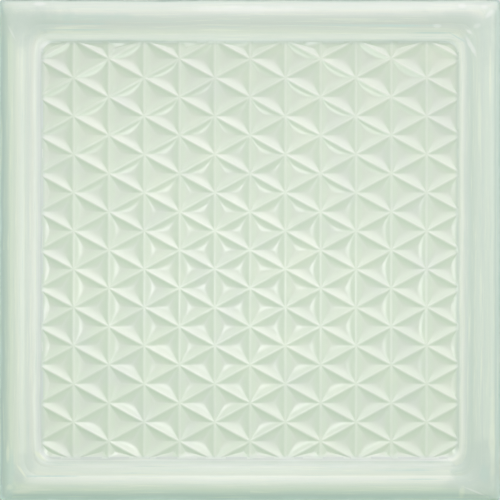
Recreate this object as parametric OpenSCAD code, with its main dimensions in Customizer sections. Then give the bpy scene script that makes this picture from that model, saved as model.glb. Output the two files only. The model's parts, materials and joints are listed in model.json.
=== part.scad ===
// Square glazed ceramic wall tile: a raised frame of two rounded rolls and a level lip, round a
// panel of sunken three-sided pyramids whose ridges meet in six-pointed stars.
// The tile lies on its back: +Z is out of the glazed face, +Y is up on the wall. Millimetres.

/* [Tile] */
// Side of the square, edge to edge
tile_side = 200; // [150:1:250]
// Thickness from the back to the crest of the frame
tile_thick = 9; // [8:0.1:14]
// Plan radius of the four outer corners
outer_corner_r = 1; // [0.7:0.1:3]
// Chamfer round the back face
back_chamfer = 0.6; // [0.2:0.1:0.9]
// Radius that breaks the edge between side and frame
arris_r = 0.5; // [0.2:0.1:1.5]

/* [Frame] */
// Width of the frame, from the tile's edge to the ridges of the panel
frame_w = 17; // [15:0.1:30]
// How far in from the tile's edge the crest of the outer roll runs
crest_inset = 5; // [3:0.1:7]
// Fall from the crest to the tile's edge
edge_drop = 1.8; // [0.8:0.1:3]
// How far in from the tile's edge the outer roll ends and the inner roll begins
crease_inset = 9.8; // [8:0.1:11]
// Fall from the crest to the crease between the rolls
crease_drop = 0.5; // [0.1:0.05:1]
// Fall from the crease to the lip, over the inner roll
lip_drop = 0.4; // [0.1:0.05:1]
// Width of the level lip
lip_w = 2.2; // [0.5:0.1:3]
// Fall from the lip to the ridges of the panel
panel_drop = 0.5; // [0.2:0.05:1]
// Slope of the wall between lip and panel, in degrees from level
wall_slope = 20; // [18:1:60]
// Plan radius of the crest's corners
crest_corner_r = 8; // [2:0.5:15]
// Plan radius of the panel's corners
panel_corner_r = 4; // [1:0.5:10]

/* [Pyramids] */
// Distance between neighbouring upright ridges
pitch_x = 14.12; // [10:0.01:25]
// Distance between neighbouring stars on one upright ridge
pitch_y = 15.3; // [10:0.1:25]
// Depth of each pyramid below the ridges
pit_depth = 1; // [0.4:0.1:2]
// Width of the level top of a ridge
ridge_w = 0.6; // [0.2:0.1:1.5]
// Width of the steep flank beside each ridge
flank_w = 2.2; // [0.8:0.1:2.4]
// Share of the depth that is left at the flank's foot, for the shallow floor inside it
floor_share = 0.15; // [0.05:0.05:0.5]
// Radius of the circle that fits the small flat at the bottom of a pyramid
tip_r = 0.2; // [0.05:0.05:0.5]

/* [Back] */
// Keying pockets along each side of the back
pockets_per_side = 8; // [2:1:14]
// Plain border round the keyed area
back_border = 7.5; // [4:0.5:15]
// Width of the ribs between pockets
back_rib_w = 3; // [1.5:0.5:5]
// Depth of the keying pockets
pocket_depth = 0.6; // [0.2:0.1:1]
// Slope of the pockets' sides, in degrees from level
pocket_slope = 45; // [30:1:80]

/* [Hidden] */

glaze_colour = [0.84, 0.89, 0.83];
corner_steps = 8;      // chords in each rounded corner
edge_steps = 8;        // chords between crest and edge
roll_steps = 5;        // chords across the inner side of each roll
arris_steps = 3;
overcut = 0.4;         // how far a cutting tool stands clear of the face that it cuts

crest_z = tile_thick;
crease_z = crest_z - crease_drop;
lip_z = crease_z - lip_drop;
ridge_z = lip_z - panel_drop;
wall_w = panel_drop / tan(wall_slope);
lip_inset = frame_w - wall_w - lip_w;

// Radius of an arc that starts level and falls by drop over a width.
function roll_r(width, drop) = (width * width + drop * drop) / (2 * drop);

// Points along the first steps of such an arc as [offset from its level end, fall].
function roll(r, turn, steps) = [
    for (i = [0:steps])
        let (a = turn * i / steps)
        [r * sin(a), r * (1 - cos(a))]
];

// Between the edge and the crest the outer roll is one arc, cut off by the arris: an arc that
// leaves the upright side and turns to the roll's slope at the edge.
edge_roll_r = roll_r(crest_inset, edge_drop);
arris_turn = 90 - asin(crest_inset / edge_roll_r);
arris_w = arris_r * (1 - cos(arris_turn));
edge_roll = roll(edge_roll_r, asin((crest_inset - arris_w) / edge_roll_r), edge_steps);
arris_z = crest_z - edge_roll[edge_steps][1] - arris_r * sin(arris_turn);

// Inside the crest it falls to the crease, and the inner roll falls from there to the lip.
crease_w = crease_inset - crest_inset;
crest_roll_r = roll_r(crease_w, crease_drop);
crest_roll = roll(crest_roll_r, asin(crease_w / crest_roll_r), roll_steps);
inner_roll_w = lip_inset - crease_inset;
inner_roll_r = roll_r(inner_roll_w, lip_drop);
inner_roll = roll(inner_roll_r, asin(inner_roll_w / inner_roll_r), roll_steps);

// The frame's section as [inset, height], from the top of the upright side to the foot of the
// wall that goes down to the panel.
frame_section = concat(
    [for (i = [0:arris_steps - 1])
        let (a = arris_turn * i / arris_steps)
        [arris_r * (1 - cos(a)), arris_z + arris_r * sin(a)]],
    [for (i = [edge_steps:-1:1]) [crest_inset - edge_roll[i][0], crest_z - edge_roll[i][1]]],
    [for (p = crest_roll) [crest_inset + p[0], crest_z - p[1]]],
    [for (i = [1:roll_steps]) [crease_inset + inner_roll[i][0], crease_z - inner_roll[i][1]]],
    [[lip_inset + lip_w, lip_z], [frame_w, ridge_z]]
);

// Plan radius of a contour of the frame: tight at the edge, widest at the crest, closing in to
// the panel's corner.
function contour_r(inset) = inset < crest_inset
    ? outer_corner_r + (crest_corner_r - outer_corner_r) * inset / crest_inset
    : crest_corner_r
        + (panel_corner_r - crest_corner_r) * (inset - crest_inset) / (frame_w - crest_inset);

// A closed contour at height z: the tile's square, taken in by inset, with corners of radius r.
function contour(inset, r, z) = [
    for (corner = [0:3], step = [0:corner_steps])
        let (
            a = 90 * (corner + step / corner_steps),
            reach = tile_side / 2 - inset - r,
            side_x = (corner == 0 || corner == 3) ? 1 : -1,
            side_y = corner < 2 ? 1 : -1
        )
        [side_x * reach + r * cos(a), side_y * reach + r * sin(a), z]
];

// A solid whose skin passes through stacked contours of equal length, from lowest to highest,
// closed by the first and the last.
module loft(contours) {
    count = len(contours[0]);
    last = len(contours) - 1;
    skin = [
        for (k = [0:last - 1], i = [0:count - 1])
            let (a = k * count + i, b = k * count + (i + 1) % count)
            each [[a, b + count, b], [a, a + count, b + count]]
    ];
    bottom = [[for (i = [0:count - 1]) i]];
    top = [[for (i = [count - 1:-1:0]) last * count + i]];
    polyhedron(points = [for (c = contours) each c], faces = concat(skin, bottom, top));
}

// The pressed blank: frame in full, panel still level with the ridges.
module blank() {
    loft(concat(
        [
            contour(back_chamfer, outer_corner_r - back_chamfer, 0),
            contour(0, outer_corner_r, back_chamfer)
        ],
        [for (p = frame_section) contour(p[0], contour_r(p[0]), p[1])]
    ));
}

// Each pyramid stands on an upright ridge, its base, and points at a star on the next one.
// Its deepest point is at the triangle's incentre, so its three sides are alike: a steep flank
// beside the ridge, then a shallow floor. The flank stops short of the middle on a small pyramid.
leg = norm([pitch_x, pitch_y / 2]);
incircle_r = pitch_x * pitch_y / (pitch_y + 2 * leg);
flank_foot = min(ridge_w / 2 + flank_w, incircle_r - tip_r - 0.1);

// The pyramid's plan at one height, its sides this far in from the middle of the ridges.
// Tip towards +X, with the middle of the base at the origin.
function pit_triangle(inset, z) = [
    for (corner = [[0, -pitch_y / 2], [pitch_x, 0], [0, pitch_y / 2]])
        let (
            incentre = [incircle_r, 0],
            p = incentre + (corner - incentre) * (1 - inset / incircle_r)
        )
        [p[0], p[1], z]
];

// A pyramid's cutter, with the tops of the ridges at z = 0.
module pit() {
    loft([
        pit_triangle(incircle_r - tip_r, -pit_depth),
        pit_triangle(flank_foot, -pit_depth * (1 - floor_share)),
        pit_triangle(ridge_w / 2, 0),
        pit_triangle(ridge_w / 2, overcut)
    ]);
}

panel_half = tile_side / 2 - frame_w;
columns = ceil(panel_half / pitch_x);
rows = floor(2 * panel_half / pitch_y + 1);

// The space that pyramids may take: the frame's wall runs on down into them.
module panel_space() {
    foot_inset = frame_w + (pit_depth + overcut) / tan(wall_slope);
    loft([
        contour(foot_inset, panel_corner_r, ridge_z - pit_depth - overcut),
        contour(frame_w, panel_corner_r, ridge_z),
        contour(frame_w, panel_corner_r, ridge_z + 2 * overcut)
    ]);
}

// All pyramids. Between two upright ridges they point right and left in turn, half a pitch apart.
module pyramids() {
    intersection() {
        translate([0, 0, ridge_z])
            for (column = [-columns:columns - 1], row = [-rows:rows]) {
                points_right = (column + row) % 2 != 0;
                translate([(points_right ? column : column + 1) * pitch_x, row * pitch_y / 2, 0])
                    mirror([points_right ? 0 : 1, 0, 0])
                        pit();
            }
        panel_space();
    }
}

keyed_side = tile_side - 2 * back_border;
pocket_side = (keyed_side - (pockets_per_side - 1) * back_rib_w) / pockets_per_side;

function square_contour(half, z) =
    [[half, half, z], [-half, half, z], [-half, -half, z], [half, -half, z]];

// One keying pocket, centred on the origin, mouth down at z = 0.
module pocket() {
    mouth = pocket_side / 2;
    roof = mouth - pocket_depth / tan(pocket_slope);
    loft([
        square_contour(mouth, -overcut),
        square_contour(mouth, 0),
        square_contour(roof, pocket_depth)
    ]);
}

module back_keying() {
    first = (pocket_side - keyed_side) / 2;
    step = pocket_side + back_rib_w;
    for (i = [0:pockets_per_side - 1], j = [0:pockets_per_side - 1])
        translate([first + i * step, first + j * step, 0])
            pocket();
}

module tile() {
    color(glaze_colour)
        difference() {
            blank();
            pyramids();
            back_keying();
        }
}

tile();
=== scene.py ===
import json
import math

import bmesh
import bpy
import numpy as np
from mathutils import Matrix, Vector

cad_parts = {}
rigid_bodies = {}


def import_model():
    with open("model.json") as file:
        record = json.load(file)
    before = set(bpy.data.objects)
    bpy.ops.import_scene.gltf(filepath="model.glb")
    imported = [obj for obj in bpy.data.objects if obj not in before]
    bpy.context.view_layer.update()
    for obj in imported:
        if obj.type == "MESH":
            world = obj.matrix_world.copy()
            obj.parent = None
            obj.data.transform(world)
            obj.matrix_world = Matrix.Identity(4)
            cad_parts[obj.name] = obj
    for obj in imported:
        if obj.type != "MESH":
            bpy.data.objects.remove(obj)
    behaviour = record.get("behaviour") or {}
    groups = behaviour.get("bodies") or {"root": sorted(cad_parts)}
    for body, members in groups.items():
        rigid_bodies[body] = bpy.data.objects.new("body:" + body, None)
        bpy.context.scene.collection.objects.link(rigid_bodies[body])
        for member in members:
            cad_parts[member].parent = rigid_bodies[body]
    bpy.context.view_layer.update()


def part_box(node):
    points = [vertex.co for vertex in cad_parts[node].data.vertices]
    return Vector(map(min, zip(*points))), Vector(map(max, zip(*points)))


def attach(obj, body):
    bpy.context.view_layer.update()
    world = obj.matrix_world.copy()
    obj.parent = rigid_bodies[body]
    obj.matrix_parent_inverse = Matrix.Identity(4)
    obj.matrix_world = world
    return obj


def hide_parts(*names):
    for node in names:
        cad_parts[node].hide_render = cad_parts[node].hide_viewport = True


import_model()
mm = 0.001
tileLow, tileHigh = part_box("tile")
halfSide = (tileHigh.x - tileLow.x) / 2 / mm
crestZ = (tileHigh.z - tileLow.z) / mm
print("frame loaded: half side", round(halfSide, 3), "mm, crest at", round(crestZ, 3), "mm")


def smoothStep(x, low, high):
    # 0 below low, 1 above high, 3t^2 - 2t^3 between
    t = np.clip((x - low) / (high - low), 0, 1)
    return t * t * (3 - 2 * t)


def meshFrom(name, points, faces):
    # points are in millimetres, the mesh in metres
    mesh = bpy.data.meshes.new(name)
    mesh.from_pydata((points * mm).tolist(), [], [list(f) for f in faces])
    mesh.validate()
    return mesh


def ringFaces(rings, count):
    # quads between stacked closed rings of `count` points each, ring after ring
    k, i = np.meshgrid(np.arange(rings - 1), np.arange(count), indexing="ij")
    a, b = k * count + i, k * count + (i + 1) % count
    return np.stack([a, b, b + count, a + count], axis=-1).reshape(-1, 4)


# the tile's body, in millimetres
bodyShape = {
    "cornerRadius": 1.0,      # plan radius of the tile's corners
    "backChamfer": 0.6,
    "arrisRadius": 0.5,
    "arrisSteps": 5,          # chords round it
    "frameWidth": 17.0,
    "crestInset": 5.0,
    "edgeDrop": 1.8,          # crest to edge
    "creaseInset": 9.8,
    "creaseDrop": 0.5,        # crest to crease
    "lipDrop": 0.4,           # crease to lip
    "lipWidth": 2.2,
    "panelDrop": 0.5,         # lip to ridges
    "wallSlope": 20.0,        # degrees
    "crestCornerRadius": 8.0,
    "panelCornerRadius": 4.0,
    "recessDrop": 1.5,        # ridges to the floor under the pits
    "soften": 0.14,           # how far the glaze rounds each crease
    "softenFrom": (0.3, 1.2), # distance from the edge over which that sets in
    "softenSpan": (-2, 26, 0.02),            # insets that it's worked out at: first, end and step
    "softenPoints": 30,       # how many of them to each side are averaged
    "sideRings": (2.2, 4.4, 5.4, 6.2),       # heights of the rings of points up the side
    "wallRings": (16.6, 17.2),               # insets of the two on the wall
    "frameRings": (           # and of those over the frame, in runs of first, end and step
        (0.35, 3.2, 0.45), (3.2, 9.2, 0.6), (9.3, 10.4, 0.12), (10.7, 13.0, 0.45),
        (13.1, 13.8, 0.12), (14.1, 15.3, 0.4), (15.3, 16.1, 0.12)),
    "cornerReach": 4.0,       # how far before a corner its arc's stations begin on the back
    "arcSteps": 5,            # chords in half a corner
    "arcSpacing": 0.2,        # between their lines on the back
    "pockets": 8,
    "backBorder": 7.5,
    "ribWidth": 3.0,
    "pocketDepth": 0.6,
    "pocketRise": (-0.05, 0.75),             # distance from its mouth over which a pocket deepens
    "pocketLines": (0, 0.22, 0.48, 0.7),     # and where that slope has its points
    "pocketFlat": 0.02,       # share of the depth below which the back stays flat
    "sharpAngle": 32.0,       # degrees; a bend above it stays a crisp edge
}

# the pits and their ridges, in millimetres
pitShape = {
    "pitchX": 14.12,
    "pitchY": 15.3,
    "slopeAt": (0, 0.45, 1.2, 2.0, 2.8, 3.6),         # distances from a ridge
    "slope": (0.48, 0.44, 0.335, 0.235, 0.16, 0.1),   # how steep a side is there
    "slopeReach": (5.0, 501), # how far in the slope is summed up, and at how many points
    "valleySharp": 5.0,       # more makes the valleys between the sides sharper
    "uprightRound": 0.45,     # how far an upright ridge is rounded
    "slantRound": 0.4,        # and a slanting one
    "leastInset": 0.001,      # keeps the valleys' formula finite on a ridge
    "ringInsets": (0, 0.13, 0.3, 0.55, 0.95, 1.5, 2.1, 2.7, 3.2, 3.7, 4.2),
    "ridgePoints": (0, 0.03, 0.1, 0.26, 0.5, 0.74, 0.9, 0.97),    # shares of a ridge, star to star
    "columns": 6,             # pitches each side of the middle
    "rows": 12,               # half pitches each side of the middle
    "weld": 0.004,            # points this close are one
    "rootDrop": 0.6,          # from the recess down to the panel's own floor, inside the body
}

lipZ = crestZ - bodyShape["creaseDrop"] - bodyShape["lipDrop"]
ridgeZ = lipZ - bodyShape["panelDrop"]
recessZ = ridgeZ - bodyShape["recessDrop"]
wallTangent = math.tan(math.radians(bodyShape["wallSlope"]))
slantLength = math.hypot(pitShape["pitchX"], pitShape["pitchY"] / 2)    # of a slanting ridge, star to star
pitRadius = pitShape["pitchX"] * pitShape["pitchY"] / (pitShape["pitchY"] + 2 * slantLength)


def frameHeight(inset):
    # height of the frame's section by distance from the edge: an arc that falls to the edge,
    # an arc from the crest to the crease, one from the crease to the lip, a level lip, and a
    # straight wall; an arc of width w and fall d has the radius (w^2 + d^2) / 2d
    s = bodyShape
    lipInset = s["frameWidth"] - s["panelDrop"] / wallTangent - s["lipWidth"]

    def arcFall(x, width, fall):
        radius = (width ** 2 + fall ** 2) / (2 * fall)
        return radius - np.sqrt(np.maximum(radius ** 2 - x ** 2, 0))

    outer = crestZ - arcFall(s["crestInset"] - inset, s["crestInset"], s["edgeDrop"])
    middle = crestZ - arcFall(inset - s["crestInset"], s["creaseInset"] - s["crestInset"], s["creaseDrop"])
    inner = crestZ - s["creaseDrop"] - arcFall(
        inset - s["creaseInset"], lipInset - s["creaseInset"], s["lipDrop"])
    wall = lipZ - (inset - lipInset - s["lipWidth"]) * wallTangent
    return np.select(
        [inset < s["crestInset"], inset < s["creaseInset"], inset < lipInset,
         inset < lipInset + s["lipWidth"]],
        [outer, middle, inner, lipZ], wall)


def softFrameHeight(inset):
    # the same section after a running average with a bell-shaped weight, as the glaze rounds it:
    # weight = exp(-(distance / soften)^2 / 2); the outermost millimetre keeps its own line
    s = bodyShape
    fine = np.arange(*s["softenSpan"])
    reach = np.arange(-s["softenPoints"], s["softenPoints"] + 1) * s["softenSpan"][2]
    weight = np.exp(-0.5 * (reach / s["soften"]) ** 2)
    own = frameHeight(np.abs(fine))
    soft = np.convolve(own, weight / weight.sum(), mode="same")
    share = smoothStep(fine, *s["softenFrom"])
    whole = slice(s["softenPoints"], -s["softenPoints"])      # where the average has all its points
    return np.interp(inset, fine[whole], (own * (1 - share) + soft * share)[whole])


def contourRadius(inset):
    # plan radius of a contour: from the corner's own to the crest's, then to the panel's
    s = bodyShape
    return np.interp(inset, [0, s["crestInset"], s["frameWidth"]],
                     [s["cornerRadius"], s["crestCornerRadius"], s["panelCornerRadius"]])


def squareContour(stations, inset, radius, height):
    # rounded square: each side is straight for the inner stations, and its last stations run
    # round half a corner; a station below 1 is a share of the straight, above 1 of the half arc
    reach = halfSide - inset - radius
    turn = np.clip(np.abs(stations) - 1, 0, 1) * math.pi / 4
    x = reach + radius * np.cos(turn)
    y = np.clip(stations, -1, 1) * reach + np.sign(stations) * radius * np.sin(turn)
    sides = [(x, y), (-y, x), (-x, -y), (y, -x)]
    plan = np.concatenate([np.stack(side, -1)[:-1] for side in sides])
    return np.column_stack([plan, np.broadcast_to(height, len(plan))])


def backLines():
    # grid lines across the back: some across each pocket's sloping sides, one down its middle, and
    # the stations of the corners' arcs
    s = bodyShape
    keyed = 2 * (halfSide - s["backBorder"])
    pocket = (keyed - (s["pockets"] - 1) * s["ribWidth"]) / s["pockets"]
    starts = -keyed / 2 + np.arange(s["pockets"]) * (pocket + s["ribWidth"])
    slope = np.array(s["pocketLines"])
    inner = np.concatenate([slope, [pocket / 2], pocket - slope[::-1]])
    lines = (starts[:, None] + inner[None, :]).ravel()
    arcs = halfSide - s["cornerReach"] + np.arange(s["arcSteps"] + 1) * s["arcSpacing"]
    return np.concatenate([-arcs[::-1], lines, arcs]), starts, pocket


def backHeight(x, y, starts, pocket):
    # pockets pressed into the back: depth times the lesser of two eased ramps, one for each
    # direction, that rise inwards from the pocket's mouth
    def rise(u):
        inside = np.minimum(u[..., None] - starts, starts + pocket - u[..., None])
        return smoothStep(np.clip(inside, 0, None).max(-1), *bodyShape["pocketRise"])

    lesser = np.minimum(rise(x), rise(y))
    return bodyShape["pocketDepth"] * lesser * (lesser > bodyShape["pocketFlat"])


def bodySection():
    # [inset, height] from the back's edge, up the side, round the arris, over the frame and down to
    # the foot of the recess; the arris is an arc from upright to the outer roll's slope at the edge
    s = bodyShape
    edgeRadius = (s["crestInset"] ** 2 + s["edgeDrop"] ** 2) / (2 * s["edgeDrop"])
    arrisTurn = math.pi / 2 - math.asin(s["crestInset"] / edgeRadius)
    arrisWidth = s["arrisRadius"] * (1 - math.cos(arrisTurn))
    arrisZ = float(frameHeight(np.array(arrisWidth))) - s["arrisRadius"] * math.sin(arrisTurn)
    turns = np.linspace(0, arrisTurn, s["arrisSteps"] + 1)
    arris = np.column_stack([s["arrisRadius"] * (1 - np.cos(turns)),
                             arrisZ + s["arrisRadius"] * np.sin(turns)])
    foot = s["frameWidth"] + (ridgeZ - recessZ) / wallTangent
    insets = np.concatenate([*(np.arange(*run) for run in s["frameRings"]), s["wallRings"], [foot]])
    top = np.column_stack([insets, softFrameHeight(insets)])
    top[-1, 1] = recessZ
    side = [[0, z] for z in (s["backChamfer"], *s["sideRings"])]
    return np.vstack([[[s["backChamfer"], 0]], side, arris, top])


def tileBody():
    # the section carried round the square, closed by the recess's floor above and the back below
    s = bodyShape
    lines, starts, pocket = backLines()
    straight = halfSide - s["cornerReach"]
    beyond = (np.abs(lines) - straight) / (s["arcSpacing"] * s["arcSteps"])
    stations = np.where(np.abs(lines) <= straight, lines / straight, np.sign(lines) * (1 + beyond))
    section = bodySection()
    radii = [s["cornerRadius"] - s["backChamfer"], *contourRadius(section[1:, 0])]
    rings = [squareContour(stations, inset, radius, z) for (inset, z), radius in zip(section, radii)]
    skin = np.vstack(rings)
    count = len(rings[0])
    faces = ringFaces(len(rings), count).tolist()
    faces.append(list(range(len(skin) - count, len(skin))))
    # the back is a grid whose border meets the first ring
    gridX, gridY = np.meshgrid(lines, lines, indexing="xy")
    back = np.column_stack([gridX.ravel(), gridY.ravel(), backHeight(gridX, gridY, starts, pocket).ravel()])
    at = len(skin) + np.arange(len(back)).reshape(gridX.shape)
    faces += np.stack([at[:-1, :-1], at[1:, :-1], at[1:, 1:], at[:-1, 1:]], -1).reshape(-1, 4).tolist()
    border = np.concatenate([at[:-1, -1], at[-1, :0:-1], at[:0:-1, 0], at[0, :-1]])
    ring = np.arange(count)
    faces += np.stack([border, np.roll(border, -1), np.roll(ring, -1), ring], -1).tolist()
    return np.vstack([skin, back]), faces


def pitDepth(x, y):
    # depth below the ridges inside one triangle with its base on x = 0 and its tip at pitchX: a point
    # counts as e = sqrt(d^2 + w^2) - w from each ridge, d its distance and w the ridge's rounding, and
    # as (e1^-n + e2^-n + e3^-n)^(-1/n) from all three; its depth is the slope summed up to there
    p = pitShape

    def fromRidge(distance, rounding):
        return np.sqrt(np.maximum(distance, 0) ** 2 + rounding ** 2) - rounding + p["leastInset"]

    slantLow = (p["pitchX"] * (y + p["pitchY"] / 2) - p["pitchY"] / 2 * x) / slantLength
    slantHigh = (p["pitchX"] * (p["pitchY"] / 2 - y) - p["pitchY"] / 2 * x) / slantLength
    sides = np.stack([fromRidge(slantLow, p["slantRound"]), fromRidge(slantHigh, p["slantRound"]),
                      fromRidge(x, p["uprightRound"])])
    inward = (sides ** -p["valleySharp"]).sum(0) ** (-1 / p["valleySharp"])
    fine = np.linspace(0, *p["slopeReach"])
    slope = np.interp(fine, p["slopeAt"], p["slope"])
    fallen = np.concatenate([[0], np.cumsum((slope[1:] + slope[:-1]) / 2 * np.diff(fine))])
    return np.interp(inward, fine, fallen)


def pitPanel():
    # every triangle of the lattice carries the same rings, which shrink to its incentre:
    # point = centre + (edge - centre) * (1 - inset / inradius); they point right and left in turn
    p = pitShape
    insets = np.array(p["ringInsets"]) / pitRadius
    along = np.array(p["ridgePoints"])
    corners = np.array([[0, -p["pitchY"] / 2], [p["pitchX"], 0], [0, p["pitchY"] / 2]])
    centre = np.array([pitRadius, 0])
    edge = np.concatenate([
        corners[i] + along[:, None] * (corners[(i + 1) % 3] - corners[i]) for i in range(3)])
    rings = centre + (edge[None] - centre) * (1 - insets)[:, None, None]
    plan = np.vstack([rings.reshape(-1, 2), centre])
    depth = pitDepth(plan[:, 0], plan[:, 1])
    count, middle = len(edge), len(plan) - 1
    quads = ringFaces(len(insets), count)
    lastRing = middle - count + np.arange(count)
    fan = np.column_stack([lastRing, np.roll(lastRing, -1), np.full(count, middle)])
    column, row = np.meshgrid(np.arange(-p["columns"], p["columns"]),
                              np.arange(-p["rows"], p["rows"] + 1), indexing="ij")
    column, row = column.ravel(), row.ravel()
    right = (column + row) % 2 != 0
    flip = np.where(right, 1, -1)
    baseX = np.where(right, column, column + 1) * p["pitchX"]
    x = baseX[:, None] + flip[:, None] * plan[None, :, 0]
    y = row[:, None] * p["pitchY"] / 2 + plan[None, :, 1]
    z = ridgeZ - np.broadcast_to(depth, x.shape)
    points = np.stack([x, y, z], -1).reshape(-1, 3)
    faces = []
    offset = np.arange(len(column)) * len(plan)
    for facing, turned in ((right, False), (~right, True)):
        for pattern in (quads, fan):
            block = (offset[facing][:, None, None] + pattern[None]).reshape(-1, pattern.shape[1])
            faces += (block[:, ::-1] if turned else block).tolist()
    return points, faces


def closedPanel(name, points, faces, floorZ):
    # joins the triangles along their ridges, then draws the rim down to a flat floor
    mesh = meshFrom(name, points, faces)
    bm = bmesh.new()
    bm.from_mesh(mesh)
    bmesh.ops.remove_doubles(bm, verts=bm.verts, dist=pitShape["weld"] * mm)
    rim = [e for e in bm.edges if e.is_boundary]
    drawn = [v for v in bmesh.ops.extrude_edge_only(bm, edges=rim)["geom"]
             if isinstance(v, bmesh.types.BMVert)]
    bmesh.ops.scale(bm, vec=(1, 1, 0), verts=drawn)
    bmesh.ops.translate(bm, vec=(0, 0, floorZ * mm), verts=drawn)
    bmesh.ops.holes_fill(bm, edges=[e for e in bm.edges if e.is_boundary], sides=0)
    bmesh.ops.recalc_face_normals(bm, faces=bm.faces)
    bm.to_mesh(mesh)
    bm.free()
    return mesh


bodyMesh = meshFrom("tileBody", *tileBody())
tile = bpy.data.objects.new("glazedTile", bodyMesh)
bpy.context.scene.collection.objects.link(tile)
print("body:", len(bodyMesh.vertices), "points,", len(bodyMesh.polygons), "faces")

panelMesh = closedPanel("pitPanel", *pitPanel(), recessZ - pitShape["rootDrop"])
panel = bpy.data.objects.new("pitPanel", panelMesh)
bpy.context.scene.collection.objects.link(panel)
print("panel:", len(panelMesh.vertices), "points,", len(panelMesh.polygons), "faces")

join = tile.modifiers.new("join", "BOOLEAN")
join.operation, join.object, join.solver = "UNION", panel, "MANIFOLD"
joined = bpy.data.meshes.new_from_object(tile.evaluated_get(bpy.context.evaluated_depsgraph_get()))
tile.modifiers.clear()
tile.data = joined
bpy.data.objects.remove(panel)
joined.name = "glazedTile"
joined.shade_smooth()
joined.set_sharp_from_angle(angle=math.radians(bodyShape["sharpAngle"]))
triangles = sum(len(f.vertices) - 2 for f in joined.polygons)
print("tile:", len(joined.vertices), "points,", triangles, "triangles")


def linear(red, green, blue):
    # screen value to light: ((c + 0.055) / 1.055) ^ 2.4
    return tuple(((c + 0.055) / 1.055) ** 2.4 for c in (red, green, blue)) + (1.0,)


def node(tree, kind, inputs=(), **settings):
    # adds a node, applies its settings, and fills inputs with links or plain values
    made = tree.nodes.new(kind)
    for key, value in settings.items():
        setattr(made, key, value)
    for key, value in dict(inputs).items():
        if isinstance(value, bpy.types.NodeSocket):
            tree.links.new(value, made.inputs[key])
        else:
            made.inputs[key].default_value = value
    return made


def calc(tree, operation, *values):
    return node(tree, "ShaderNodeMath", enumerate(values), operation=operation).outputs[0]


def measure(tree, operation, *values):
    # a vector's length, or the distance between two
    return node(tree, "ShaderNodeVectorMath", enumerate(values), operation=operation).outputs["Value"]


def ramp(tree, value, low, high, toLow=0.0, toHigh=1.0):
    # eased change from toLow to toHigh as value goes from low to high
    return node(tree, "ShaderNodeMapRange", {0: value, 1: low, 2: high, 3: toLow, 4: toHigh},
                interpolation_type="SMOOTHSTEP").outputs[0]


def mix(tree, share, first, second):
    # first where share is 0, second where it's 1
    return node(tree, "ShaderNodeMix", {0: share, 6: first, 7: second}, data_type="RGBA").outputs[2]


def noiseOf(tree, vector, scale, detail=2.0, rough=0.5):
    # soft noise with so many waves per mm, and so many finer layers of this relative strength
    return node(tree, "ShaderNodeTexNoise", {"Vector": vector, "Scale": scale, "Detail": detail,
                                             "Roughness": rough}).outputs["Fac"]


def vectorOf(tree, x, y, z):
    return node(tree, "ShaderNodeCombineXYZ", {0: x, 1: y, 2: z}).outputs[0]


def placesInMm(tree):
    place = node(tree, "ShaderNodeTexCoord").outputs["Object"]
    inMm = node(tree, "ShaderNodeVectorMath", {0: place, 1: (1 / mm, 1 / mm, 1 / mm)},
                operation="MULTIPLY").outputs[0]
    x, y, z = node(tree, "ShaderNodeSeparateXYZ", {0: inMm}).outputs
    return inMm, x, y, z


def newMaterial(name):
    made = bpy.data.materials.new(name)
    made.use_nodes = True
    tree = made.node_tree
    tree.nodes.clear()
    shader = tree.nodes.new("ShaderNodeBsdfPrincipled")
    out = tree.nodes.new("ShaderNodeOutputMaterial")
    tree.links.new(shader.outputs[0], out.inputs[0])
    return made, tree, shader


def addBump(tree, shader, height, strength, depth):
    # tilts the surface as if height stood out by depth mm
    bump = node(tree, "ShaderNodeBump", {"Strength": strength, "Distance": depth * mm, "Height": height})
    tree.links.new(bump.outputs[0], shader.inputs["Normal"])


# the glazes, the tones of painted highlight and shade, and what the panel and the frame share
glazeLook = {
    "level": linear(0.862, 0.902, 0.842),
    "slope": linear(0.862, 0.912, 0.842),     # where it runs down the pits' sides
    "ridge": linear(0.895, 0.935, 0.875),     # paler over the ridges: thinner glaze there, and a painted highlight along the crests
    # painted highlight: the white of glints along the pits' valleys and of the white marks on the frame
    "glintWhite": linear(0.925, 0.945, 0.925),
    "cream": linear(0.925, 0.955, 0.875),
    "lavender": linear(0.865, 0.885, 0.88),
    "teal": linear(0.76, 0.85, 0.815),
    # this tone is also the painted shade at the panel's rim and the painted shadow along the top side's
    # wall
    "mist": linear(0.785, 0.84, 0.8),
    "refraction": 1.5,
    "panelRough": 0.14,
    "frameRough": 0.36,
    "roughFade": (15.4, 17.2),      # mm from the edge over which the frame's turns into the panel's
    "waves": (0.9, 2),        # its faint waviness: waves per mm and finer layers
    "waveStrength": 0.1,
    "waveDepth": 0.1,         # in mm
}


def glossyCoat(tree, shader, inMm, tone, rough):
    # a coat of this tone and roughness with the glaze's faint waviness
    shader.inputs["IOR"].default_value = glazeLook["refraction"]
    tree.links.new(tone, shader.inputs["Base Color"])
    tree.links.new(rough, shader.inputs["Roughness"])
    wave = noiseOf(tree, inMm, *glazeLook["waves"])
    addBump(tree, shader, wave, glazeLook["waveStrength"], glazeLook["waveDepth"])


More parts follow.
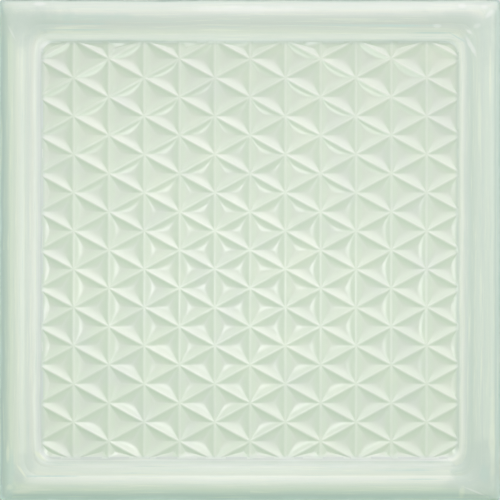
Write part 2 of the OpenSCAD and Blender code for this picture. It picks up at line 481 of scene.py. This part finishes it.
# how the frame was brushed; noises are waves per mm, finer layers and their strength
brushLook = {
    "bandReach": 18.0,        # mm from the edge that the bands cover
    "stray": (0.12, 5, 0.6),  # noise that makes the mitres and the marks ragged
    "mitreStray": 20.0,       # mm that it shifts the mitres, at most about half of it either way
    "mitreBlend": 4.0,        # mm to each side over which one side's bands turn into the next one's
    "buttFrom": (78, 87),     # mm from the middle, where the right side's strokes run on down
    "buttFoot": (-98.5, -96.5),     # and how low they run
    "buttStray": 18.0,
    "buttLead": 22.0,         # mm that they go past the mitre
    "roundFrom": 6.0,         # mm from the edge where the bands' corners start to sharpen
    "roundPower": (30, 140),  # from the panel's soft corner to the tile's sharp one
    "sideNoise": (57.0, 83.0, 31.0),     # sets the noise of the top, the right and the level sides apart
    "bandBend": (0.04, 1.2),  # waves per mm along a side, and mm that its bands bend across it
    "drawnOut": 0.03,         # waves per mm along a side of its streaks
    "paleStreaks": (1.1, 4, 0.65),
    "paleSpan": (0.5, 0.72),  # noise at which they start and are full
    "darkStreaks": (1.7, 4, 0.65),
    "darkSpan": (0.52, 0.75),
    "streak": 0.45,           # how strongly both show
    "markStray": 1.8,         # how ragged a mark is, and where it fades, in its own half sizes
    "markFade": (0.3, 1.3),
}

# colours of the four sides of the frame, in hundredths of full red, green and blue, at these
# distances in mm from the edge: the brushed glaze, with painted shade darkening the last stops down the
# wall to the panel
bandInsets = (0.2, 0.6, 1.2, 2.0, 3.0, 4.4, 5.8, 7.0, 8.4, 9.8, 11.4, 13.0, 14.0, 15.2, 16.2, 17.2)
bandColours = {
    "top": ((58, 67, 64), (78, 84, 79), (83, 88, 84), (84, 88, 83), (84, 89, 84), (88, 91, 86),
            (86, 89, 86), (82, 86, 82), (81, 85, 81), (80, 84, 80), (82, 86, 81), (85, 89, 83),
            (86, 90, 85), (86, 90, 85), (86, 90, 87), (82, 86, 82)),
    "bottom": ((91, 98, 96), (86, 92, 91), (79, 87, 84), (77, 84, 81), (79, 86, 81), (81, 87, 80),
               (82, 87, 81), (86, 90, 85), (88, 91, 87), (90, 93, 88), (86, 90, 85), (84, 88, 83),
               (91, 94, 91), (86, 90, 86), (76, 81, 76), (77, 82, 78)),
    "left": ((87, 95, 94), (76, 84, 82), (75, 82, 79), (77, 84, 80), (79, 85, 80), (85, 90, 83),
             (83, 88, 82), (86, 90, 84), (87, 91, 86), (87, 91, 86), (84, 88, 84), (86, 89, 84),
             (92, 95, 91), (87, 90, 87), (81, 85, 82), (82, 86, 84)),
    "right": ((73, 84, 80), (82, 88, 84), (81, 88, 84), (80, 86, 82), (86, 91, 86), (84, 89, 84),
              (84, 89, 84), (82, 87, 83), (83, 88, 83), (82, 87, 82), (79, 85, 80), (81, 86, 82),
              (84, 88, 84), (90, 93, 88), (85, 89, 84), (81, 86, 82)),
}

# brush marks and painted light on the frame: where, half length and half width in mm, turn in degrees,
# glaze, strength; the white ones are painted highlights
brushMarksAndPaintedLight = (
    ((-87.0, 92.0), (14.0, 6.5), 5, "mist", 0.85),
    ((-92.0, 86.0), (5.0, 7.0), 0, "mist", 0.6),
    ((-97.0, 92.0), (2.0, 9.0), 0, "mist", 0.6),
    ((86.0, 92.0), (16.0, 4.5), -8, "mist", 0.45),
    ((95.0, 84.0), (4.0, 12.0), 0, "mist", 0.5),
    ((-92.6, -91.0), (3.4, 3.0), 0, "mist", 0.8),
    ((-88.8, -85.0), (4.5, 6.5), 0, "mist", 0.5),
    ((-96.0, -90.0), (2.0, 10.0), 0, "teal", 0.5),
    ((92.5, -89.0), (8.0, 13.0), 0, "mist", 0.8),
    ((83.0, -93.5), (6.0, 3.0), 0, "mist", 0.6),
    ((-96.8, -80.8), (4.0, 0.7), 90, "cream", 0.5),
    ((-96.0, -94.8), (1.6, 1.3), 20, "cream", 0.4),
    ((-91.0, -96.6), (5.0, 0.9), 0, "level", 0.8),
    ((-84.0, -95.8), (6.0, 0.5), 0, "level", 0.7),
    ((-91.0, -88.8), (3.0, 0.5), -55, "cream", 0.6),
    ((-84.0, -82.4), (3.2, 1.0), -40, "cream", 0.7),
    ((84.8, 97.6), (1.6, 1.0), 0, "glintWhite", 0.35),
    ((93.6, 97.0), (1.6, 1.0), 0, "glintWhite", 0.35),
    ((95.6, 94.4), (2.4, 1.0), 45, "glintWhite", 0.5),
    ((90.8, 89.6), (1.6, 1.0), 20, "glintWhite", 0.35),
    ((87.6, 87.2), (1.6, 0.7), -35, "glintWhite", 0.6),
    ((74.8, 89.6), (1.8, 0.8), 0, "glintWhite", 0.5),
    ((88.4, 81.4), (5.0, 0.8), -62, "glintWhite", 0.6),
    # a painted highlight along the right side's crest
    ((96.0, 70.0), (14.0, 0.6), 90, "cream", 0.35),
    ((91.6, 54.0), (16.0, 0.7), 90, "cream", 0.3),
    # painted shadow: a dark line along the top side, where the wall meets the panel
    ((-52.0, 83.4), (24.0, 0.6), 0, "mist", 0.9),
    ((58.0, 83.3), (24.0, 0.5), 0, "mist", 0.6),
    ((8.0, 83.2), (26.0, 0.4), 0, "mist", 0.4),
    ((-95.2, 86.8), (3.6, 0.5), -63, "glintWhite", 0.4),
    ((-82.0, 82.2), (2.8, 1.4), 35, "glintWhite", 0.8),
    ((96.8, -72.4), (18.0, 1.3), 90, "cream", 0.4),
    ((84.6, -97.0), (2.6, 1.1), 80, "cream", 0.35),
    ((90.2, -96.6), (4.4, 0.4), -22, "glintWhite", 0.6),
    ((64.0, -88.0), (14.0, 0.35), 0, "teal", 0.6),
    ((68.0, -91.6), (10.0, 0.35), 0, "teal", 0.6),
    ((-80.0, -90.4), (10.0, 0.4), 0, "teal", 0.8),
    ((62.0, 89.6), (12.0, 0.35), 0, "teal", 0.7),
    ((72.0, 86.8), (10.0, 0.35), 0, "teal", 0.7),
    ((82.6, 85.2), (3.4, 0.35), -30, "teal", 0.7),
    ((-68.0, 90.4), (14.0, 0.35), 0, "teal", 0.6),
    ((-68.0, 88.0), (14.0, 0.35), 0, "teal", 0.7),
    ((-64.0, 93.0), (22.0, 1.8), 0, "teal", 0.35),
    ((44.0, 89.8), (30.0, 0.5), 0, "teal", 0.5),
    ((-2.0, 96.0), (28.0, 1.5), 0, "glintWhite", 0.45),
    ((92.0, 98.6), (6.0, 0.9), 0, "mist", 0.6),
    ((-84.0, 98.4), (3.0, 0.9), 0, "glintWhite", 0.5),
    ((-88.5, -95.0), (5.0, 1.2), 0, "level", 0.5),
    ((93.5, -89.0), (2.2, 4.5), 0, "teal", 0.4),
)


def bandRamp(tree, inset, colours):
    # the colour by distance from the edge, glaze with its painted shade, in a straight run from each stop
    # to the next
    reach = brushLook["bandReach"]
    made = node(tree, "ShaderNodeValToRGB", {0: calc(tree, "DIVIDE", inset, reach)})
    stops = made.color_ramp.elements
    while len(stops) < len(colours):
        stops.new(1.0)
    for stop, at, colour in zip(stops, bandInsets, colours):
        stop.position, stop.color = at / reach, linear(*(c / 100 for c in colour))
    return made.outputs[0]


def sideChoice(tree, x, y, stray):
    # 1 on the upper and lower sides and 0 on the left and right ones, told apart by the larger of
    # |x| and |y| along a ragged mitre, except that the right side runs on down to the lower edge
    look = brushLook
    isTop = calc(tree, "GREATER_THAN", y, 0.0)
    end = ramp(tree, calc(tree, "MULTIPLY_ADD", stray, look["buttStray"], x), *look["buttFrom"])
    butt = calc(tree, "MULTIPLY", end, ramp(tree, y, *look["buttFoot"]))
    butt = calc(tree, "MULTIPLY", butt, calc(tree, "SUBTRACT", 1.0, isTop))
    lead = calc(tree, "SUBTRACT", calc(tree, "ABSOLUTE", y), calc(tree, "ABSOLUTE", x))
    lead = calc(tree, "MULTIPLY_ADD", butt, -look["buttLead"], lead)
    strayed = calc(tree, "MULTIPLY_ADD", stray, look["mitreStray"], lead)
    return isTop, ramp(tree, strayed, -look["mitreBlend"], look["mitreBlend"])


def bandInset(tree, x, y):
    # inset = h - h ((|x| / h)^p + (|y| / h)^p)^(1 / p), with h half the tile's side, which rounds
    # the bands at the corners; p grows towards the edge, where the corners are sharp
    across, up = calc(tree, "ABSOLUTE", x), calc(tree, "ABSOLUTE", y)
    power = ramp(tree, calc(tree, "MAXIMUM", across, up), halfSide - brushLook["roundFrom"], halfSide,
                 *brushLook["roundPower"])
    powers = [calc(tree, "POWER", calc(tree, "DIVIDE", a, halfSide), power) for a in (across, up)]
    norm = calc(tree, "POWER", calc(tree, "ADD", *powers), calc(tree, "DIVIDE", 1.0, power))
    return calc(tree, "MULTIPLY_ADD", norm, -halfSide, halfSide)


def frameTone(tree, x, y):
    # the side's bands, bent a little, then streaks of noise drawn out along it, then the marks, brushed
    # ones and painted highlights and shadow
    look = brushLook
    flat = vectorOf(tree, x, y, 0.0)
    stray = calc(tree, "SUBTRACT", noiseOf(tree, flat, *look["stray"]), 0.5)
    isTop, level = sideChoice(tree, x, y, stray)
    isRight = calc(tree, "GREATER_THAN", x, 0.0)
    along = node(tree, "ShaderNodeMix", {0: level, 2: y, 3: x}, data_type="FLOAT").outputs[0]
    topNoise, rightNoise, levelNoise = look["sideNoise"]
    which = calc(tree, "MULTIPLY_ADD", isTop, topNoise, calc(tree, "MULTIPLY", isRight, rightNoise))
    which = calc(tree, "MULTIPLY_ADD", level, levelNoise, which)
    waves, width = look["bandBend"]
    bend = noiseOf(tree, vectorOf(tree, calc(tree, "MULTIPLY", along, waves), which, 0.0), 1.0)
    edge = calc(tree, "MULTIPLY_ADD", calc(tree, "SUBTRACT", bend, 0.5), width, bandInset(tree, x, y))
    bands = {side: bandRamp(tree, edge, colours) for side, colours in bandColours.items()}
    upright = mix(tree, isRight, bands["left"], bands["right"])
    flatwise = mix(tree, isTop, bands["bottom"], bands["top"])
    tone = mix(tree, level, upright, flatwise)
    drawn = vectorOf(tree, calc(tree, "MULTIPLY", along, look["drawnOut"]), edge, which)
    for glaze, noise, span in (("cream", "paleStreaks", "paleSpan"), ("teal", "darkStreaks", "darkSpan")):
        streaks = ramp(tree, noiseOf(tree, drawn, *look[noise]), *look[span], 0, look["streak"])
        tone = mix(tree, streaks, tone, glazeLook[glaze])
    for at, size, turn, glaze, strength in brushMarksAndPaintedLight:
        placed = node(tree, "ShaderNodeMapping", {
            "Vector": flat, "Location": (*at, 0), "Rotation": (0, 0, math.radians(turn)),
            "Scale": (*size, 1)}, vector_type="TEXTURE").outputs[0]
        ragged = calc(tree, "MULTIPLY_ADD", stray, look["markStray"], measure(tree, "LENGTH", placed))
        tone = mix(tree, ramp(tree, ragged, *look["markFade"], strength, 0.0), tone, glazeLook[glaze])
    return tone, edge


def frameMaterial():
    # the brushed bands with their painted shade and highlights, getting glossier down the wall to the panel
    made, tree, shader = newMaterial("mintFrame")
    inMm, x, y, z = placesInMm(tree)
    tone, edge = frameTone(tree, x, y)
    rough = ramp(tree, edge, *glazeLook["roughFade"], glazeLook["frameRough"], glazeLook["panelRough"])
    glossyCoat(tree, shader, inMm, tone, rough)
    return made


# how the glaze and its painted glints and shade lie on the panel: a span is where a tone starts and ends,
# in mm from the nearest ridge
panelLook = {
    "ridgeSpan": (0.2, 0.75),
    "slopeStart": (0.2, 0.7),
    "slopeEnd": (1.8, 3.2),
    "valleyStart": (0.4, 3.0),
    "valleyWidth": (0.15, 1.2),     # how much farther the second nearest ridge may be
    "upperSpan": 0.3,         # how soon an upper valley counts as one
    "valleyShare": (0.25, 0.4),     # how strong each valley's painted glint is, and how much stronger an upper one's is
    "whitest": (-22, -22, 0), # mm from the middle: where the painted glints are strongest
    "whiteSpan": (30, 110),   # mm from there over which they fade
    "whiteShare": (0.3, 0.05),
    "clouds": (0.07, 3),      # waves per mm and finer layers
    "cloudSlice": 3.0,        # which slice through that noise
    "creamSpan": (0.5, 0.75),
    "lavenderSpan": (0.5, 0.25),
    "mottle": 0.25,           # how strongly the cream and lavender clouds show
    "rimSpan": (18.4, 17),    # mm from the edge
    "rimPaintedShade": 0.5,          # how strongly painted shade darkens the panel's rim, at the wall's foot
    "paintedFalloff": (0.026, 0.075, 0.032),      # painted shade: how much it darkens across and up the panel, and more at the top
    "roughSpan": (0.2, 0.8),  # how the roughness goes with the clouds
    "roughSpread": 0.03,
}


def ridgeDistances(tree, x, y):
    # distances in mm to the nearest and the second nearest of the lattice's three sets of
    # parallel ridges, each pingpong(offset, half its spacing)
    p = pitShape
    slant = p["pitchX"] * p["pitchY"] / slantLength
    lean = calc(tree, "MULTIPLY", x, p["pitchY"] / 2 / slantLength)
    rise = calc(tree, "MULTIPLY", y, p["pitchX"] / slantLength)
    fallOffset, riseOffset = calc(tree, "ADD", rise, lean), calc(tree, "SUBTRACT", rise, lean)
    upright = calc(tree, "PINGPONG", x, p["pitchX"] / 2)
    falling = calc(tree, "PINGPONG", fallOffset, slant / 2)
    rising = calc(tree, "PINGPONG", riseOffset, slant / 2)
    low, high = calc(tree, "MINIMUM", falling, rising), calc(tree, "MAXIMUM", falling, rising)
    nearest = calc(tree, "MINIMUM", low, upright)
    second = calc(tree, "MAXIMUM", low, calc(tree, "MINIMUM", high, upright))
    # the product of sin(pi offset / spacing) over the three sets is positive in the triangles that
    # point one way and negative in the others; times (rising - falling) it's positive in upper valleys
    turn = 1.0
    for offset, spacing in ((x, p["pitchX"]), (fallOffset, slant), (riseOffset, slant)):
        sine = calc(tree, "SINE", calc(tree, "MULTIPLY", offset, math.pi / spacing))
        turn = calc(tree, "MULTIPLY", turn, sine)
    upper = calc(tree, "MULTIPLY", turn, calc(tree, "SUBTRACT", rising, falling))
    return nearest, second, ramp(tree, upper, -panelLook["upperSpan"], panelLook["upperSpan"])


def valleyGlint(tree, x, y, nearest, second, upper):
    # painted glints that whiten the glaze: most along the line where two ridges are equally far, more in
    # the upper valleys of a pit, and most of all left of and below the panel's middle
    look = panelLook
    apart = calc(tree, "SUBTRACT", second, nearest)
    share = calc(tree, "MULTIPLY", ramp(tree, nearest, *look["valleyStart"]),
                 ramp(tree, apart, *look["valleyWidth"], 1, 0))
    least, more = look["valleyShare"]
    share = calc(tree, "MULTIPLY", share, calc(tree, "MULTIPLY_ADD", upper, more, least))
    away = measure(tree, "DISTANCE", vectorOf(tree, x, y, 0.0), look["whitest"])
    return calc(tree, "MULTIPLY", share, ramp(tree, away, *look["whiteSpan"], *look["whiteShare"]))


def panelMaterial():
    # colour by distance from the ridges: pale on them from thin glaze and a painted highlight, greener down
    # the pits' flanks, painted glints along the valleys, with soft clouds, and painted shade along the rim
    made, tree, shader = newMaterial("mintPanel")
    look = panelLook
    inMm, x, y, z = placesInMm(tree)
    nearest, second, upper = ridgeDistances(tree, x, y)
    slope = calc(tree, "MULTIPLY", ramp(tree, nearest, *look["slopeStart"]),
                 ramp(tree, nearest, *look["slopeEnd"], 1, 0))
    tone = mix(tree, slope, glazeLook["level"], glazeLook["slope"])
    # paler ridges: thinner glaze, and a painted highlight along the crests
    tone = mix(tree, ramp(tree, nearest, *look["ridgeSpan"], 1, 0), tone, glazeLook["ridge"])
    # painted highlight: white glints along the valleys
    tone = mix(tree, valleyGlint(tree, x, y, nearest, second, upper), tone, glazeLook["glintWhite"])
    clouds = noiseOf(tree, vectorOf(tree, x, y, look["cloudSlice"]), *look["clouds"])
    tone = mix(tree, ramp(tree, clouds, *look["creamSpan"], 0, look["mottle"]), tone, glazeLook["cream"])
    tone = mix(tree, ramp(tree, clouds, *look["lavenderSpan"], 0, look["mottle"]), tone,
               glazeLook["lavender"])
    # painted shade along the panel's rim, where the wall meets the pits
    outward = calc(tree, "MAXIMUM", calc(tree, "ABSOLUTE", x), calc(tree, "ABSOLUTE", y))
    rimFrom, rimTo = (halfSide - inset for inset in look["rimSpan"])
    tone = mix(tree, ramp(tree, outward, rimFrom, rimTo, 0, look["rimPaintedShade"]), tone, glazeLook["mist"])
    # painted shade, darker away from the middle: 1 - a x^2 - b y^2 - c y, with x and y in half sides of the
    # tile
    u, v = calc(tree, "DIVIDE", x, halfSide), calc(tree, "DIVIDE", y, halfSide)
    terms = (calc(tree, "MULTIPLY", u, u), calc(tree, "MULTIPLY", v, v), v)
    falloffShade = 1.0
    for term, share in zip(terms, look["paintedFalloff"]):
        falloffShade = calc(tree, "MULTIPLY_ADD", term, -share, falloffShade)
    tone = node(tree, "ShaderNodeVectorMath", {0: tone, "Scale": falloffShade}, operation="SCALE").outputs[0]
    rough = ramp(tree, clouds, *look["roughSpan"], glazeLook["panelRough"] - look["roughSpread"],
                 glazeLook["panelRough"] + look["roughSpread"])
    glossyCoat(tree, shader, inMm, tone, rough)
    return made


# bare clay; noises are waves per mm, finer layers and their strength
clayLook = {
    "pale": linear(0.87, 0.84, 0.78),
    "warm": linear(0.83, 0.785, 0.71),
    "grit": linear(0.66, 0.59, 0.5),
    "rough": 0.85,
    "clouds": (0.06, 3),
    "gritGrain": (1.4, 1),
    "gritSpan": (0.68, 0.76), # noise at which a speck of grit starts and is full
    "grain": (1.8, 4, 0.7),
    "grainStrength": 0.6,
    "grainDepth": 0.1,        # in mm
}


def clayTone(tree, inMm):
    look = clayLook
    tone = mix(tree, noiseOf(tree, inMm, *look["clouds"]), look["pale"], look["warm"])
    grit = ramp(tree, noiseOf(tree, inMm, *look["gritGrain"]), *look["gritSpan"])
    return mix(tree, grit, tone, look["grit"])


def clayMaterial():
    made, tree, shader = newMaterial("bareClay")
    inMm, x, y, z = placesInMm(tree)
    tree.links.new(clayTone(tree, inMm), shader.inputs["Base Color"])
    addBump(tree, shader, noiseOf(tree, inMm, *clayLook["grain"]), clayLook["grainStrength"],
            clayLook["grainDepth"])
    shader.inputs["Roughness"].default_value = clayLook["rough"]
    return made


# the glaze on the sides, in mm up from the back
sideLook = {
    "runEdge": 3.4,           # where it stops, and how far that wavers
    "runDepth": 3.0,
    "runs": (0.12, 4, 0.6),
    "runFade": 0.06,          # to each side of its edge
    "lipFade": (0.1, 0.7),    # above its edge, where it has gathered
    "lipShade": 0.6,
    "clouds": (0.25, 4, 0.6),
    "coatHeight": 1.6,        # how far it stands out, in depths of the clay's grain
}


def sideMaterial():
    # glaze that ran over the edge and stopped at a wavering line, bare clay below it
    made, tree, shader = newMaterial("glazedSide")
    look, edge = sideLook, sideLook["runEdge"]
    inMm, x, y, z = placesInMm(tree)
    run = noiseOf(tree, vectorOf(tree, x, y, 0.0), *look["runs"])
    line = calc(tree, "MULTIPLY_ADD", calc(tree, "SUBTRACT", run, 0.5), look["runDepth"], z)
    glazed = ramp(tree, line, edge - look["runFade"], edge + look["runFade"])
    lipFrom, lipTo = (edge + up for up in look["lipFade"])
    lip = calc(tree, "MULTIPLY", glazed, ramp(tree, line, lipFrom, lipTo, 1, 0))
    body = mix(tree, noiseOf(tree, inMm, *look["clouds"]), glazeLook["teal"], glazeLook["level"])
    coat = mix(tree, calc(tree, "MULTIPLY", lip, look["lipShade"]), body, glazeLook["teal"])
    tree.links.new(mix(tree, glazed, clayTone(tree, inMm), coat), shader.inputs["Base Color"])
    rough = ramp(tree, glazed, 0, 1, clayLook["rough"], glazeLook["frameRough"])
    tree.links.new(rough, shader.inputs["Roughness"])
    shader.inputs["IOR"].default_value = glazeLook["refraction"]
    bare = calc(tree, "SUBTRACT", 1.0, glazed)
    grain = calc(tree, "MULTIPLY", noiseOf(tree, inMm, *clayLook["grain"]), bare)
    height = calc(tree, "MULTIPLY_ADD", glazed, look["coatHeight"], grain)
    addBump(tree, shader, height, clayLook["grainStrength"], clayLook["grainDepth"])
    return made


# where each finish lies, in millimetres
finishPlaces = {
    "slack": 0.05,            # past the back's chamfer and the frame's line
    "outermost": 0.02,        # insets below this are side
    "sideHeights": (0.7, 6.9),
    "sideDepth": 3.0,         # insets above this are never side
}


def finishOfFaces(mesh):
    # 0 clay at the back, 1 glazed side, 2 frame, 3 panel, told by the middle of each face; the frame
    # ends where its wall meets the ridges, and turns the panel's corners on their radius:
    # distance = corner's centre + hypot(what |x| and |y| go past it by)
    places = finishPlaces
    middles = np.zeros(len(mesh.polygons) * 3, np.float32)
    mesh.polygons.foreach_get("center", middles)
    x, y, z = middles.reshape(-1, 3).T / mm
    inset = halfSide - np.maximum(np.abs(x), np.abs(y))
    low, high = places["sideHeights"]
    onBack = z < bodyShape["backChamfer"] + places["slack"]
    onSide = (inset < places["outermost"]) | (z > low) & (z < high) & (inset < places["sideDepth"])
    panelSide = halfSide - bodyShape["frameWidth"]
    cornerCentre = panelSide - bodyShape["panelCornerRadius"]
    past = [np.maximum(np.abs(side) - cornerCentre, 0) for side in (x, y)]
    onFrame = cornerCentre + np.hypot(*past) > panelSide + places["slack"]
    return np.select([onBack, onSide, onFrame], [0, 1, 2], 3)


joined.materials.clear()
for finish in (clayMaterial(), sideMaterial(), frameMaterial(), panelMaterial()):
    joined.materials.append(finish)
joined.polygons.foreach_set("material_index", finishOfFaces(joined).astype(np.int32))
joined.update()
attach(tile, "root")
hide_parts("tile")
print("materials set")


# the room round the tile, in metres
studio = {
    "floorSide": 14.0,
    "floorColour": linear(0.93, 0.93, 0.92),
    "floorRough": 0.9,
    "floorFade": (0.2, 1.1),  # distance from the middle over which it turns into the backdrop
    "backdrop": linear(0.93, 0.93, 0.925),
    "fill": 0.512,
    "fillColour": (0.775, 1.0, 0.78, 1.0),
    "lens": 300.0,            # in mm, as the film's width is
    "film": 36.0,
    "clip": (0.1, 50.0),
    "rimZ": 0.0071,           # height where the tile is widest as seen from above
}

# the lamps, in metres and watts: an even one doesn't fade with distance, one that isn't diffuse is
# seen in the glaze only, and one that isn't glossy is never seen in it
lamps = {
    "key": {"place": (0.125, 0.394, 0.5), "side": (0.24, 0.24), "power": 5.95,
            "colour": (1.0, 0.78, 0.98), "glossy": False, "even": True},
    "sail": {"place": (0.88, 1.88, 2.16), "side": (3.2, 3.2), "power": 43.0,
             "colour": (1.0, 0.7, 1.0), "diffuse": False},
    "glow": {"place": (-0.0096, -0.018, 0.2), "side": (0.062, 0.062), "power": 0.06,
             "colour": (1.0, 0.98, 1.0), "diffuse": False},
    "overhead": {"place": (0.0, 0.0, 2.2), "side": (1.5, 1.5), "power": 4.2,
                 "colour": (1.0, 0.98, 1.0), "glossy": False},
}


def seenRays(tree):
    # 1 for what the camera sees, straight, mirrored or through something, and 0 for light itself
    paths = tree.nodes.new("ShaderNodeLightPath")
    mirrored = calc(tree, "MAXIMUM", paths.outputs["Is Glossy Ray"], paths.outputs["Is Transmission Ray"])
    return calc(tree, "MAXIMUM", paths.outputs["Is Camera Ray"], mirrored)


def flatFloor():
    # a real floor round the tile, whose far part fades to the backdrop's even tone
    half = studio["floorSide"] / 2
    corners = [(-half, -half, 0), (half, -half, 0), (half, half, 0), (-half, half, 0)]
    mesh = bpy.data.meshes.new("floor")
    mesh.from_pydata(corners, [], [(0, 1, 2, 3)])
    made, tree, shader = newMaterial("paleFloor")
    shader.inputs["Base Color"].default_value = studio["floorColour"]
    shader.inputs["Roughness"].default_value = studio["floorRough"]
    reach = measure(tree, "LENGTH", node(tree, "ShaderNodeTexCoord").outputs["Object"])
    away = calc(tree, "MULTIPLY", ramp(tree, reach, *studio["floorFade"]), seenRays(tree))
    pale = node(tree, "ShaderNodeEmission", {0: studio["backdrop"], 1: 1.0})
    choice = node(tree, "ShaderNodeMixShader", {0: away, 1: shader.outputs[0], 2: pale.outputs[0]})
    tree.links.new(choice.outputs[0], tree.nodes["Material Output"].inputs[0])
    mesh.materials.append(made)
    floor = bpy.data.objects.new("floor", mesh)
    bpy.context.scene.collection.objects.link(floor)


def softLight(name, place, side, power, colour, glossy=True, diffuse=True, even=False):
    lamp = bpy.data.lights.new(name, "AREA")
    lamp.shape, lamp.size, lamp.size_y = "RECTANGLE", side[0], side[1]
    lamp.energy, lamp.color = power, colour
    made = bpy.data.objects.new(name, lamp)
    made.location = place
    made.rotation_euler = (-made.location).to_track_quat("-Z", "Y").to_euler()
    made.visible_glossy, made.visible_diffuse, made.visible_camera = glossy, diffuse, False
    if even:
        lamp.use_nodes = True
        tree = lamp.node_tree
        steady = node(tree, "ShaderNodeLightFalloff", {0: 1.0}).outputs["Constant"]
        tree.links.new(steady, tree.nodes["Emission"].inputs["Strength"])
    bpy.context.scene.collection.objects.link(made)


def paleWorld():
    world = bpy.data.worlds.new("studio")
    bpy.context.scene.world = world
    world.use_nodes = True
    tree = world.node_tree
    tree.nodes.clear()
    fill = node(tree, "ShaderNodeBackground", {0: studio["fillColour"], 1: studio["fill"]})
    seen = node(tree, "ShaderNodeBackground", {0: studio["backdrop"], 1: 1.0})
    choice = node(tree, "ShaderNodeMixShader", {0: seenRays(tree), 1: fill.outputs[0], 2: seen.outputs[0]})
    out = tree.nodes.new("ShaderNodeOutputWorld")
    tree.links.new(choice.outputs[0], out.inputs[0])


def cameraAbove():
    # straight above the middle, at the height from which the tile's side just fills the film:
    # height = rim + half side * lens / half the film
    camera = bpy.data.cameras.new("camera")
    camera.lens, camera.sensor_width = studio["lens"], studio["film"]
    camera.clip_start, camera.clip_end = studio["clip"]
    eye = bpy.data.objects.new("camera", camera)
    eye.location = (0, 0, studio["rimZ"] + halfSide * mm * studio["lens"] / (studio["film"] / 2))
    bpy.context.scene.collection.objects.link(eye)
    bpy.context.scene.camera = eye


flatFloor()
for name, settings in lamps.items():
    softLight(name, **settings)
paleWorld()
cameraAbove()
bpy.context.scene.view_settings.view_transform = "Standard"
print("studio set")
